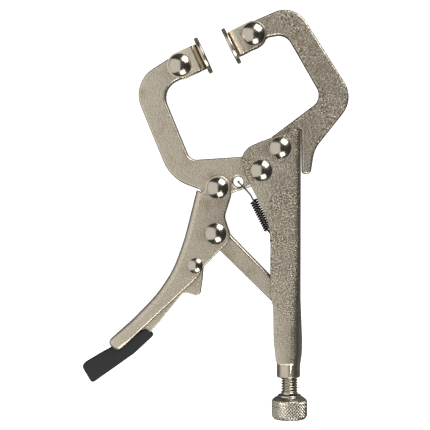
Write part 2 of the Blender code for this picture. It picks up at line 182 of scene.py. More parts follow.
LEVER_SPACE = [
    (-5.5, 18.0, 0.0), (-5.5, 9.2, 0.0), (-13.1, -22.4, 36.7), (-29.7, -39.5, 20.0),
    (-41.8, -50.4, 0.0), (-40.0, -56.0, 0.0), (10.0, -16.0, 0.0), (10.0, 18.0, 0.0),
]

# Arcs are cut this finely; a straight run stays whole unless a step is given
ARC_STEP = math.radians(7.5)
WHOLE_RUN = 1000.0
HOLE_SIDES = 48
# Width of the flat strip between a rounded edge and its face
FLAT_STRIP = 0.1
# A blank stands this much proud of its fold's faces, so that no two faces lie in one plane
PROUD = 0.002
# A round end is two corners whose radii almost meet
NEARLY_ROUND = 0.97


# Settings


def length(name, description, millimetres):
    """A length property with its default given in millimetres."""
    return FloatProperty(
        name=name, description=description, default=millimetres * MM, unit="LENGTH", precision=5
    )


def colour(name, description, value):
    """A colour property held as an sRGB hex value."""
    return StringProperty(name=name, description=description, default=value)


class SheetSizes(bpy.types.PropertyGroup):
    """Sizes of the plates and folded sheets."""

    edge: length("Plate edge", "Radius on the edges of the thick plates", 0.8)
    sheet_edge: length("Sheet edge", "Radius on the free edges of folded sheet", 0.55)
    sheet: length("Sheet", "Thickness of the folded sheet", 1.3)
    fold: length("Fold", "Outside radius of the channels' folds", 2.2)
    tip_fold: length("Tip fold", "Outside radius where the lever's fold wraps its tip", 1.5)
    bore_play: length("Play", "Room round a rivet in its hole", 0.1)


class PadSizes(bpy.types.PropertyGroup):
    """Sizes of the swivel pads."""

    thickness: length("Thickness", "Thickness of the round plates", 1.5)
    reach: length("Reach", "From the swivel to the middle of the plate", 9.15)
    ear: length("Ear", "Radius of the bracket's ears", 4.7)
    ear_sheet: length("Ear sheet", "Thickness of the bracket's sheet", 1.2)
    fold: length("Bracket fold", "Outside radius of the bracket's folds", 2.2)
    rim: length("Rim", "Radius on the plates' rims", 0.45)
    fixed_faces: FloatProperty(
        name="Fixed pad", description="The way the fixed pad faces, from +X",
        default=math.radians(206.5), subtype="ANGLE",
    )
    moving_faces: FloatProperty(
        name="Moving pad", description="The way the moving pad faces, from +X",
        default=math.radians(24.5), subtype="ANGLE",
    )


class RivetSizes(bpy.types.PropertyGroup):
    """Sizes of the rivets."""

    shank: length("Shank", "Radius of the main rivets' shanks", 2.4)
    rise: length("Rise", "Height of the main rivets' heads", 1.95)
    pad_shank: length("Pad shank", "Radius of the pad rivets' shanks", 2.2)
    pad_rise: length("Pad rise", "Height of the pad rivets' heads", 2.05)
    small_shank: length("Small shank", "Radius of the release rivet's shank", 1.5)
    small_rise: length("Small rise", "Height of the release rivet's heads", 1.3)
    rim: length("Rim", "Height of the upright rim below a head's dome", 0.3)


class ScrewSizes(bpy.types.PropertyGroup):
    """Sizes of the adjusting screw."""

    pitch: length("Pitch", "Distance between threads", 0.95)
    depth: length("Depth", "Depth of the thread", 0.6)
    collar: length("Collar", "Outside radius of the collar the screw runs in", 4.3)
    play: length("Play", "Room between the thread and the collar", 0.25)
    knob_corner: length("Knob corner", "Radius of the knob's rims", 1.1)
    knurl: length("Knurl", "Distance between knurl grooves", 1.2)
    knurl_depth: length("Knurl depth", "Depth of the knurl grooves", 0.45)


class SpringSizes(bpy.types.PropertyGroup):
    """Sizes of the tension spring."""

    wire: length("Wire", "Radius of the wire", 0.31)
    coil: length("Coil", "Radius of the coil at the middle of the wire", 1.3)
    turns: IntProperty(name="Turns", description="Turns of the coil", default=13, min=1)


class Finishes(bpy.types.PropertyGroup):
    """Colours of the finishes, as sRGB hex values."""

    nickel: colour("Nickel", "Nickel plate on the sheet and plates", "#CFC5B2")
    dull_nickel: colour("Dull nickel", "The hollows of blasted nickel plate", "#5C5446")
    polished: colour("Polished nickel", "Nickel plate on the rivets", "#BDB5A6")
    bright: colour("Bright nickel", "Nickel plate on the screw", "#C2BBAC")
    wire: colour("Wire", "Black oxide on the spring", "#55524D")
    vinyl: colour("Vinyl", "Dipped vinyl", "#121212")
    stain: colour("Stain", "Faint warm patches in the plate", "#9C8560")


class Stage(bpy.types.PropertyGroup):
    """Camera and light."""

    floor: colour("Floor", "The pale floor", "#F4F4F2")
    eye: FloatVectorProperty(
        name="Eye", description="Where the camera stands", default=(0.024, 0.017, 0.5), unit="LENGTH"
    )
    aim: FloatVectorProperty(
        name="Aim", description="What the camera looks at, inside the upper cheeks",
        default=(0.010, 0.007, 0.0), unit="LENGTH",
    )
    across: length("Across", "Width of what the camera sees there", 157.4)


# Outlines


def unit(vectors):
    """The vectors, each divided by its length."""
    return vectors / np.linalg.norm(vectors, axis=-1, keepdims=True)


def divided(path, step, closed=True):
    """The path with each side cut into equal parts no longer than step."""
    ahead = np.roll(path, -1, axis=0) - path
    parts = np.maximum(1, np.ceil(np.linalg.norm(ahead, axis=1) / step)).astype(int)
    if not closed:
        parts[-1] = 1
    first = np.repeat(np.cumsum(parts) - parts, parts)
    share = (np.arange(parts.sum()) - first) / np.repeat(parts, parts)
    share[-1] *= closed
    return np.repeat(path, parts, axis=0) + share[:, None] * np.repeat(ahead, parts, axis=0)


def rounded(corners, step=WHOLE_RUN, closed=True):
    """An outline through corners (x, y, radius), counterclockwise when closed.

    Each corner becomes the arc of its radius that touches both sides: its centre lies
    radius / sin(half) from the corner along the bisector, where half is half of the angle between
    the sides.
    """
    points = []
    for i, (x, y, radius) in enumerate(corners):
        corner = np.array((x, y), float)
        end = not closed and i in (0, len(corners) - 1)
        if radius == 0 or end:
            points.append(corner[None])
            continue
        before = unit(np.array(corners[i - 1][:2]) - corner)
        after = unit(np.array(corners[(i + 1) % len(corners)][:2]) - corner)
        half = math.acos(np.clip(before @ after, -1.0, 1.0)) / 2
        centre = corner + unit(before + after) * radius / math.sin(half)
        start = corner + before * radius / math.tan(half) - centre
        side = np.sign(start[0] * (after - before)[1] - start[1] * (after - before)[0])
        turn = math.pi - 2 * half
        swing = side * np.linspace(0, turn, max(2, math.ceil(turn / ARC_STEP)) + 1)
        points.append(centre + turn_by(start, swing))
    path = divided(np.concatenate(points), step, closed)
    return counterclockwise(path) if closed else path


def turn_by(vector, angles):
    """A vector of the plane turned by each of the angles."""
    c, s = np.cos(angles), np.sin(angles)
    return np.stack([vector[0] * c - vector[1] * s, vector[0] * s + vector[1] * c], axis=-1)


def counterclockwise(path):
    """The closed path, turned round if the area it encloses comes out negative."""
    x, y = path.T
    area = x @ np.roll(y, -1) - y @ np.roll(x, -1)
    return path if area > 0 else path[::-1]


def circle(centre, radius, sides=HOLE_SIDES):
    """Points round a circle, counterclockwise."""
    angles = np.linspace(0, 2 * math.pi, sides, endpoint=False)
    return np.asarray(centre)[:2] + radius * np.stack([np.cos(angles), np.sin(angles)], axis=-1)


def inward(path):
    """For each point, the step to its left that moves both of its sides by one: 2 (a + b) / |a + b|^2,
    where a and b are the two sides' unit normals."""
    ahead = unit(np.roll(path, -1, axis=0) - path)
    left = np.stack([-ahead[:, 1], ahead[:, 0]], axis=-1)
    both = left + np.roll(left, 1, axis=0)
    return 2 * both / (both**2).sum(axis=1, keepdims=True)


# Surfaces


def grid(rows, columns, first=0):
    """Faces of a grid of points that closes round its columns, numbered from first."""
    row, column = np.meshgrid(np.arange(rows - 1), np.arange(columns), indexing="ij")
    beside = (column + 1) % columns
    corners = [row * columns + column, row * columns + beside]
    corners += [(row + 1) * columns + beside, (row + 1) * columns + column]
    return first + np.stack(corners, axis=-1).reshape(-1, 4)


def capped(rows, columns):
    """Faces of such a grid closed by a fan at each end, round two poles that follow its points."""
    here = np.arange(columns)
    beside = (here + 1) % columns
    low = np.stack([beside, here, np.full(columns, rows * columns)], axis=-1)
    last = (rows - 1) * columns
    high = np.stack([here + last, beside + last, np.full(columns, rows * columns + 1)], axis=-1)
    return grid(rows, columns).tolist() + low.tolist() + high.tolist()


def filled(loops, numbers, up):
    """Triangles over the first loop less the others, with the point numbers given, facing up or
    down."""
    flat = [np.c_[loop, np.zeros(len(loop))].tolist() for loop in loops]
    triangles = np.array(geometry.tessellate_polygon(flat))
    a, b, c = np.moveaxis(np.concatenate(loops)[triangles], 1, 0)
    twice = (b - a)[:, 0] * (c - a)[:, 1] - (b - a)[:, 1] * (c - a)[:, 0]
    if (twice.sum() > 0) != up:
        triangles = triangles[:, ::-1]
    return np.concatenate(numbers)[triangles].tolist()


def plate(outline, half, edge, holes=(), rounds=4, base=0.0):
    """A flat plate from base - half to base + half above the middle, with rounded edges.

    Its rim is a profile carried round each loop. At angle a of an edge's quarter round a point stands
    edge (1 - sin a) inside the outline and edge (1 - cos a) short of the face; edge may differ from
    point to point. A narrow flat strip joins each round to its face.
    """
    a = np.linspace(0, math.pi / 2, rounds + 1)
    inset = np.r_[1, 1 - np.sin(a), 1 - np.sin(a[::-1]), 1]
    short = np.r_[0, 1 - np.cos(a), 1 - np.cos(a[::-1]), 0]
    strip = np.r_[FLAT_STRIP, 0 * a, 0 * a, FLAT_STRIP]
    side = np.r_[-np.ones(rounds + 2), np.ones(rounds + 2)]
    points, faces, lower, upper, numbers = [], [], [], [], []
    count = 0
    for path, radius in [(outline, edge), *((hole[::-1], np.min(edge)) for hole in holes)]:
        radius = np.broadcast_to(radius, len(path))
        moved = inset[:, None] * radius + strip[:, None]
        flat = path + moved[..., None] * inward(path)
        height = MID_Z + base + side[:, None] * (half - short[:, None] * radius)
        points.append(np.concatenate([flat, height[..., None]], axis=-1).reshape(-1, 3))
        faces += grid(len(side), len(path), count).tolist()
        lower.append(flat[0])
        upper.append(flat[-1])
        numbers.append(np.arange(len(path)) + count)
        count += len(side) * len(path)
    last = [n + (len(side) - 1) * len(n) for n in numbers]
    faces += filled(lower, numbers, False) + filled(upper, last, True)
    return np.concatenate(points), faces


def axes_along(direction):
    """Three unit axes, the last along the direction, each at right angles to the others."""
    along = unit(np.array(direction, float))
    across = unit(np.cross((0.0, 0.0, 1.0) if abs(along[2]) < 0.9 else (0.0, 1.0, 0.0), along))
    return np.stack([across, np.cross(along, across), along])


def turned(radii, heights, centre, direction):
    """A closed turned shape: at angle a and height h a point stands radius (cos a, sin a) off the axis.

    radii has a row for each height and a column for each angle. Both ends close on the axis.
    """
    rows, sides = radii.shape
    a = np.linspace(0, 2 * math.pi, sides, endpoint=False)
    h = np.broadcast_to(np.asarray(heights, float)[:, None], radii.shape)
    ring = np.stack([radii * np.cos(a), radii * np.sin(a), h], axis=-1).reshape(-1, 3)
    poles = [(0, 0, heights[0]), (0, 0, heights[-1])]
    points = np.concatenate([ring, poles]) @ axes_along(direction) + np.asarray(centre)
    return points, capped(rows, sides)


def lathed(profile, centre, direction, sides=64):
    """A closed turned shape with a round profile of (radius, height) pairs, from end to end."""
    radii, heights = np.array(profile).T
    return turned(np.repeat(radii[:, None], sides, axis=1), heights, centre, direction)


def swept(path, radius, sides=12):
    """A round wire along a path, with domed ends.

    Each ring lies across the path's direction t in a pair of axes carried along the path: an axis
    is carried from one point to the next by taking away the part of it that lies along the new t.
    """
    ahead = unit(np.gradient(path, axis=0))
    carried = [unit(np.cross(ahead[0], (0.3, 0.5, 0.8)))]
    for t in ahead[1:]:
        carried.append(unit(carried[-1] - (carried[-1] @ t) * t))
    first = np.array(carried)
    second = np.cross(ahead, first)
    a = np.linspace(0, 2 * math.pi, sides, endpoint=False)[None, :, None]
    rings = np.pad(
        first[:, None] * np.cos(a) + second[:, None] * np.sin(a), ((2, 2), (0, 0), (0, 0)), "edge"
    )
    # Each dome has two rings: their widths, and how far a flattened ball carries them past the end
    dome = np.array([0.45, 0.85])
    reach = 0.6 * radius * np.sqrt(1 - dome**2)[:, None]
    centres = np.concatenate([path[:1] - ahead[:1] * reach, path, path[-1:] + ahead[-1:] * reach[::-1]])
    widths = radius * np.r_[dome, np.ones(len(path)), dome[::-1]]
    points = (centres[:, None] + rings * widths[:, None, None]).reshape(-1, 3)
    return np.concatenate([points, centres[[0, -1]]]), capped(len(centres), sides)


# Making pieces


def place(name, shape, scale=MM):
    """An object of the shape, at the origin."""
    points, faces = shape
    mesh = bpy.data.meshes.new(name)
    mesh.from_pydata((np.asarray(points) * scale).tolist(), [], faces)
    made = bpy.data.objects.new(name, mesh)
    bpy.context.scene.collection.objects.link(made)
    return made


def carved(name, shape, steps):
    """An object of the shape after Boolean steps (operation, other shape), one after another.

    The steps are worked out in millimetres, because in metres the sheet's edges are too small.
    """
    made = place(name, shape, 1.0)
    helpers = []
    for number, (operation, other) in enumerate(steps):
        helper = place(f"{name}_helper_{number}", other, 1.0)
        modifier = made.modifiers.new(f"step {number}", "BOOLEAN")
        modifier.operation = operation
        modifier.solver = "EXACT"
        modifier.object = helper
        helpers.append(helper)
    evaluated = made.evaluated_get(bpy.context.evaluated_depsgraph_get())
    finished = bpy.data.meshes.new_from_object(evaluated)
    made.modifiers.clear()
    made.data = finished
    for helper in helpers:
        bpy.data.objects.remove(helper)
    clean(finished)
    finished.transform(Matrix.Scale(MM, 4))
    return made


def clean(mesh):
    """Merges points closer than a micrometre, in a mesh in millimetres, and cuts many-sided faces
    into triangles."""
    shape = bmesh.new()
    shape.from_mesh(mesh)
    bmesh.ops.remove_doubles(shape, verts=shape.verts, dist=0.001)
    bmesh.ops.dissolve_degenerate(shape, edges=shape.edges, dist=0.001)
    bmesh.ops.triangulate(shape, faces=[f for f in shape.faces if len(f.verts) > 4])
    shape.to_mesh(mesh)
    shape.free()


def give(piece, material, node, crease=40.0):
    """Shades the piece, gives it its finish, and lets it stand for its node on the node's body.

    The spring alone spans two bodies, so it is left off both.
    """
    if not piece.data.polygons:
        raise RuntimeError(f"{piece.name} came out empty")
    piece.data.shade_smooth()
    piece.data.set_sharp_from_angle(angle=math.radians(crease))
    piece.data.materials.clear()
    piece.data.materials.append(material)
    if node != "tension_spring":
        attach(piece, BODY_OF[node])
    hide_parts(node)
    return piece


# Finishes


def linear(hex_colour):
    """An sRGB hex value as linear red, green, blue and full alpha."""
    channels = np.array([int(hex_colour[i : i + 2], 16) for i in (1, 3, 5)]) / 255
    light = np.where(channels <= 0.04045, channels / 12.92, ((channels + 0.055) / 1.055) ** 2.4)
    return (*light.tolist(), 1.0)


def connect(node, inputs):
    """Gives each of the node's sockets a value or another node's output."""
    for socket, value in inputs.items():
        if isinstance(value, bpy.types.NodeSocket):
            node.id_data.links.new(value, node.inputs[socket])
        else:
            node.inputs[socket].default_value = value


def add(tree, kind, output, inputs=None, **settings):
    """Adds a node with its settings and inputs, and gives back the output named."""
    node = tree.nodes.new("ShaderNode" + kind)
    for name, value in settings.items():
        setattr(node, name, value)
    connect(node, inputs or {})
    return node.outputs[output]


def fresh(name):
    """A new material, its node tree and its shader."""
    material = bpy.data.materials.new(name)
    material.use_nodes = True
    return material, material.node_tree, material.node_tree.nodes["Principled BSDF"]


# The colour sockets of a Mix node
MIX_A, MIX_B, MIX_OUT = 6, 7, 2


def nickel(name, grain, relief, dull, shade_all, roughness, seed, painted_neck_highlight=None):
    """Nickel plate over steel: the plate is thin, so it keeps the grain of what lies under it.

    grain is the size of that grain and relief its height, in millimetres. dull is how far the
    hollows darken and shade_all how far the whole surface does. The grain fades in patches of about
    12 mm. Where the last argument gives two heights along Y, the grain also fades from the second to
    the first, down to a fifth: a painted highlight that leaves the plate lighter and glossier towards
    the neck.
    Faint warm stains are about 7 mm across.
    """
    look = bpy.context.scene.pliers_finishes
    material, tree, shader = fresh(name)
    at = add(tree, "TexCoord", "Object")
    moved = add(tree, "Mapping", 0, {"Vector": at, "Location": (seed, 0.0, 0.0)})
    fine, patches, stains = (
        add(tree, "TexNoise", "Fac", {"Vector": moved, "Scale": 1 / (size * MM), "Detail": detail})
        for size, detail in ((grain, 2.0), (12.0, 3.0), (7.0, 4.0))
    )
    amount = add(tree, "MapRange", 0, {
        "Value": patches, "From Min": 0.35, "From Max": 0.6, "To Min": 0.45, "To Max": 1.0,
    })
    # The grain thins out below the given heights: a painted highlight, lighter and glossier towards the
    # neck
    if painted_neck_highlight:
        height = add(tree, "SeparateXYZ", "Y", {"Vector": at})
        share = add(tree, "MapRange", 0, {
            "Value": height, "From Min": painted_neck_highlight[0] * MM, "From Max": painted_neck_highlight[1] * MM, "To Min": 0.2,
        })
        amount = add(tree, "Math", 0, {0: amount, 1: share}, operation="MULTIPLY")
    deep = add(tree, "MapRange", 0, {
        "Value": fine, "From Min": 0.36, "From Max": 0.62, "To Min": 1.0, "To Max": 0.0,
    })
    pits = add(tree, "Math", 0, {0: deep, 1: amount}, operation="MULTIPLY")
    shade = add(tree, "MapRange", 0, {"Value": pits, "To Min": shade_all, "To Max": dull})
    metal = {0: shade, MIX_A: linear(look.nickel), MIX_B: linear(look.dull_nickel)}
    stained = {
        0: add(tree, "MapRange", 0, {
            "Value": stains, "From Min": 0.58, "From Max": 0.74, "To Max": 0.45,
        }),
        MIX_A: add(tree, "Mix", MIX_OUT, metal, data_type="RGBA"),
        MIX_B: linear(look.stain),
    }
    rough = {"Value": pits, "To Min": roughness, "To Max": roughness + 0.14}
    risen = add(tree, "Math", 0, {0: fine, 1: amount}, operation="MULTIPLY")
    connect(shader, {
        "Metallic": 1.0,
        "Base Color": add(tree, "Mix", MIX_OUT, stained, data_type="RGBA"),
        "Roughness": add(tree, "MapRange", 0, rough),
        "Normal": add(tree, "Bump", 0, {"Height": risen, "Distance": relief * MM, "Strength": 1.0}),
    })
    return material


def blasted_nickel():
    """Shot-blasted steel under nickel: a coarse salt-and-pepper sparkle, with its grain thinned towards
    the neck as a painted highlight there.

    Real shot leaves pits of about 0.3 mm, too fine to tell apart, so the grain is drawn at 0.6 mm.
    """
    return nickel(
        "blasted_nickel", grain=0.6, relief=0.32, dull=1.0, shade_all=0.12, roughness=0.32, seed=0.0,
        painted_neck_highlight=(-54.0, -22.0),
    )


def plated_nickel():
    """Tumbled steel under nickel: a fine, even, silky grain."""
    return nickel(
        "plated_nickel", grain=0.5, relief=0.09, dull=0.3, shade_all=0.0, roughness=0.34, seed=0.13
    )


def polished(name, hex_colour, roughness, relief):
    """Bright nickel over a smooth headed or machined surface, with faint handling marks of 1.5 mm."""
    material, tree, shader = fresh(name)
    at = add(tree, "TexCoord", "Object")
    marks = add(tree, "TexNoise", "Fac", {"Vector": at, "Scale": 1 / (1.5 * MM), "Detail": 4.0})
    rough = {
        "Value": marks, "From Min": 0.4, "From Max": 0.75,
        "To Min": roughness, "To Max": roughness + 0.12,
    }
    connect(shader, {
        "Base Color": linear(hex_colour),
        "Metallic": 1.0,
        "Roughness": add(tree, "MapRange", 0, rough),
        "Normal": add(tree, "Bump", 0, {"Height": marks, "Distance": relief * MM, "Strength": 1.0}),
    })
    return material


def pad_nickel():
    """Bright nickel on the stamped pads, smoother than the plates."""
    return polished("pad_nickel", bpy.context.scene.pliers_finishes.nickel, 0.24, 0.04)


def rivet_nickel():
    """Cold-headed steel rivets under bright nickel: they mirror the lights."""
    return polished("rivet_nickel", bpy.context.scene.pliers_finishes.polished, 0.16, 0.012)


def screw_nickel():
    """Machined steel under bright nickel: glinting crests on the thread and the knurl."""
    return polished("screw_nickel", bpy.context.scene.pliers_finishes.bright, 0.16, 0.02)


def black_wire():
    """Oil-blackened spring steel: dark, with a narrow glint along each turn of the wire."""
    return polished("black_wire", bpy.context.scene.pliers_finishes.wire, 0.2, 0.01)


def dipped_vinyl():
    """Plastisol dip: soft black vinyl with a satin skin of 0.5 mm grain, sagging over some 5 mm."""
    material, tree, shader = fresh("dipped_vinyl")
    at = add(tree, "TexCoord", "Object")
    skin, sag = (
        add(tree, "TexNoise", "Fac", {"Vector": at, "Scale": 1 / (size * MM), "Detail": detail})
        for size, detail in ((0.5, 3.0), (5.0, 1.0))
    )
    fine = add(tree, "Math", 0, {0: skin, 1: 0.12}, operation="MULTIPLY")
    both = add(tree, "Math", 0, {0: sag, 1: fine}, operation="ADD")
    connect(shader, {
        "Base Color": linear(bpy.context.scene.pliers_finishes.vinyl),
        "IOR": 1.53,
        "Roughness": add(tree, "MapRange", 0, {"Value": skin, "To Min": 0.42, "To Max": 0.6}),
        "Normal": add(tree, "Bump", 0, {"Height": both, "Distance": 0.15 * MM, "Strength": 0.8}),
    })
    return material


def finish(make):
    """The material that a function makes under its own name: made once, then found again."""
    return bpy.data.materials.get(make.__name__) or make()


# Pieces


def holes_for(centres, radius):
    """A hole with play at each centre."""
    play = bpy.context.scene.pliers_sheets.bore_play / MM
    return [circle(c, radius + play) for c in centres]


def shank_radii():
    """The shank radii of main, pad and release rivets."""
    sizes = bpy.context.scene.pliers_rivets
    return sizes.shank / MM, sizes.pad_shank / MM, sizes.small_shank / MM


class PLIERS_OT_jaws(bpy.types.Operator):
    """Build the two C-shaped jaw plates"""

    bl_idname = "pliers.jaws"
    bl_label = "Jaws"

    def execute(self, context):
        edge = context.scene.pliers_sheets.edge / MM
        main, pad, _ = shank_radii()
        holes = holes_for([JAW_RIVET], main) + holes_for([FIXED_PAD_PIVOT], pad)
        shape = plate(rounded(FIXED_JAW), half_height("fixed_jaw"), edge, holes)
        give(place("fixed_jaw_plate", shape), finish(blasted_nickel), "fixed_jaw")
        holes = holes_for([JAW_PIVOT, LEVER_PIVOT], main) + holes_for([MOVING_PAD_PIVOT], pad)
        holes.append(circle(SPRING_HOLE, SPRING_HOLE_RADIUS))
        shape = plate(rounded(MOVING_JAW), half_height("moving_jaw"), edge, holes)
        give(place("moving_jaw_plate", shape), finish(plated_nickel), "moving_jaw")
        return {"FINISHED"}


class PLIERS_OT_handle(bpy.types.Operator):
    """Build the main handle: a folded channel whose neck is rolled into the screw's collar"""

    bl_idname = "pliers.handle"
    bl_label = "Main handle"

    def execute(self, context):
        sheets, screw = context.scene.pliers_sheets, context.scene.pliers_screw
        fold = rounded(HANDLE_FOLD, 1.0)
        share = np.interp(-fold[:, 1], -np.array(NECK_Y), (0, 1))
        radius = sheets.fold / MM + (screw.collar - 0.1 * MM - sheets.fold) / MM * share
        holes = holes_for([JAW_PIVOT, JAW_RIVET], shank_radii()[0])
        blank = plate(rounded(HANDLE_BLANK), CHANNEL_HALF + PROUD, sheets.sheet_edge / MM, holes)
        inside = CHANNEL_HALF - sheets.sheet / MM
        wide, narrow, root = screw.collar / MM, 3.4, COLLAR_TOP_Y + 1.9
        collar = rounded(
            [
                (0, COLLAR_END_Y, 0), (wide, COLLAR_END_Y, 0.45), (wide, COLLAR_TOP_Y, 0.5),
                (narrow, COLLAR_TOP_Y + 0.4, 0.4), (narrow, root, 0), (0, root, 0),
            ],
            closed=False,
        )[1:-1]
        bore = THREAD_RADIUS + screw.play / MM
        shaft = [(bore, COLLAR_END_Y - 4), (bore, COLLAR_TOP_Y + 4.4)]
        mouth = [
            (bore + 0.45, COLLAR_END_Y - 1), (bore + 0.45, COLLAR_END_Y + 0.05),
            (bore - 0.1, COLLAR_END_Y + 0.55),
        ]
        # The post stands on the lower cheek and ends a little above the spring's hook
        post = plate(
            circle(SPRING_POST, SPRING_POST_RADIUS, 24), (inside + 1.4) / 2, 0.1,
            base=-(inside - 0.6) / 2,
        )
        piece = carved(
            "handle_channel",
            plate(fold, CHANNEL_HALF, radius, rounds=8),
            [
                ("INTERSECT", blank),
                ("UNION", lathed(collar, (COLLAR_X, 0, MID_Z), (0, 1, 0))),
                ("DIFFERENCE", plate(rounded(HANDLE_SPACE), inside, 0.6)),
                ("DIFFERENCE", lathed(shaft, (SCREW_X, 0, MID_Z), (0, 1, 0))),
                ("DIFFERENCE", lathed(mouth, (SCREW_X, 0, MID_Z), (0, 1, 0))),
                ("UNION", post),
            ],
        )
        give(piece, finish(blasted_nickel), "main_handle")
        return {"FINISHED"}


class PLIERS_OT_lever(bpy.types.Operator):
    """Build the lever handle: a short curved channel with two rounded ears"""

    bl_idname = "pliers.lever"
    bl_label = "Lever handle"

    def execute(self, context):
        sheets = context.scene.pliers_sheets
        main, _, small = shank_radii()
        fold = rounded(LEVER_FOLD, 1.0)
        share = np.interp(fold[:, 1], TIP_Y, (0, 1))
        radius = (sheets.tip_fold + (sheets.fold - sheets.tip_fold) * share) / MM
        holes = holes_for([LEVER_PIVOT, TOGGLE_PIVOT], main) + holes_for([RELEASE_PIVOT], small)
        blank = plate(rounded(LEVER_BLANK), CHANNEL_HALF + PROUD, sheets.sheet_edge / MM, holes)
        inside = CHANNEL_HALF - sheets.sheet / MM
        piece = carved(
            "lever_channel",
            plate(fold, CHANNEL_HALF, radius, rounds=8),
            [("INTERSECT", blank), ("DIFFERENCE", plate(rounded(LEVER_SPACE), inside, 0.6))],
        )
        give(piece, finish(plated_nickel), "lever_handle")
        return {"FINISHED"}


class PLIERS_OT_links(bpy.types.Operator):
    """Build the toggle link and the release lever, the flat plates inside the channels"""

    bl_idname = "pliers.links"
    bl_label = "Link and release"

    def execute(self, context):
        edge = context.scene.pliers_sheets.edge / MM
        main, _, small = shank_radii()
        along = unit(LINK_END - TOGGLE_PIVOT)
        across = np.array((-along[1], along[0]))
        corners = [
            (*(end + along * ahead * radius + across * side * radius), radius * NEARLY_ROUND)
            for end, radius, ahead, side in (
                (TOGGLE_PIVOT, 3.5, -1, 1), (TOGGLE_PIVOT, 3.5, -1, -1), (LINK_END, 3.0, 1, -1),
                (LINK_END, 3.0, 1, 1),
            )
        ]
        holes = holes_for([TOGGLE_PIVOT], main)
        shape = plate(rounded(corners), half_height("toggle_link"), edge, holes)
        give(place("toggle_bar", shape), finish(plated_nickel), "toggle_link")
        # The thinner plate has a sharper edge
        holes = holes_for([RELEASE_PIVOT], small)
        shape = plate(rounded(RELEASE_PLATE), half_height("release_lever"), edge * 0.45, holes)
        give(place("release_plate", shape), finish(plated_nickel), "release_lever")
        return {"FINISHED"}


class PLIERS_OT_grip(bpy.types.Operator):
    """Build the dipped vinyl grip, hollowed where the release lever's end sits in it"""

    bl_idname = "pliers.grip"
    bl_label = "Grip"

    def execute(self, context):
        skin = plate(rounded(GRIP), half_height("release_grip"), 0.8, rounds=6)
        pocket = plate(rounded(GRIP_POCKET), half_height("release_lever") + 0.2, 0.1)
        piece = carved("dipped_grip", skin, [("DIFFERENCE", pocket)])
        give(piece, finish(dipped_vinyl), "release_grip")
        return {"FINISHED"}


def rivet(centre, shank, head, rise, face, rim):
    """A rivet with a domed head on each side, as a turned shape.

    The dome is part of a sphere: over a circle of radius head it rises by rise - rim, so the sphere's
    radius is (head^2 + dome^2) / (2 dome), and a point at angle a from its top has radius R sin a.
    """
    dome = rise - rim
    sphere = (head**2 + dome**2) / (2 * dome)
    a = np.linspace(math.asin(head / sphere), 0.02, 14)
    top = face + rise
    curve = np.stack([sphere * np.sin(a), top - sphere * (1 - np.cos(a))], axis=-1)
    # The head's underside is flat, with a small bevel at its rim
    foot = [(shank, face + 0.02), (head - 0.12, face + 0.02), (head - 0.02, face + 0.1)]
    upper = np.concatenate([foot, curve])
    lower = upper[::-1] * (1, -1)
    return lathed(np.concatenate([lower, upper]), (*centre, MID_Z), (0, 0, 1), 72)


class PLIERS_OT_rivets(bpy.types.Operator):
    """Build the seven domed rivets"""

    bl_idname = "pliers.rivets"
    bl_label = "Rivets"

    def execute(self, context):
        sizes = context.scene.pliers_rivets
        ears = half_height("fixed_pad_bracket")
        for nodes, shank, rise, face in (
            (
                ("jaw_pivot_rivet", "fixed_jaw_rivet", "lever_pivot_rivet", "toggle_rivet"),
                sizes.shank, sizes.rise, CHANNEL_HALF,
            ),
            (("fixed_pad_rivet", "moving_pad_rivet"), sizes.pad_shank, sizes.pad_rise, ears),
            (("release_rivet",), sizes.small_shank, sizes.small_rise, CHANNEL_HALF),
        ):
            for node in nodes:
                low, high = span(node)
                head = (high[0] - low[0]) / 2
                lengths = (shank / MM, head, rise / MM, face, sizes.rim / MM)
                shape = rivet(middle(node)[:2], *lengths)
                give(place(f"{node}_heads", shape), finish(rivet_nickel), node)
        return {"FINISHED"}


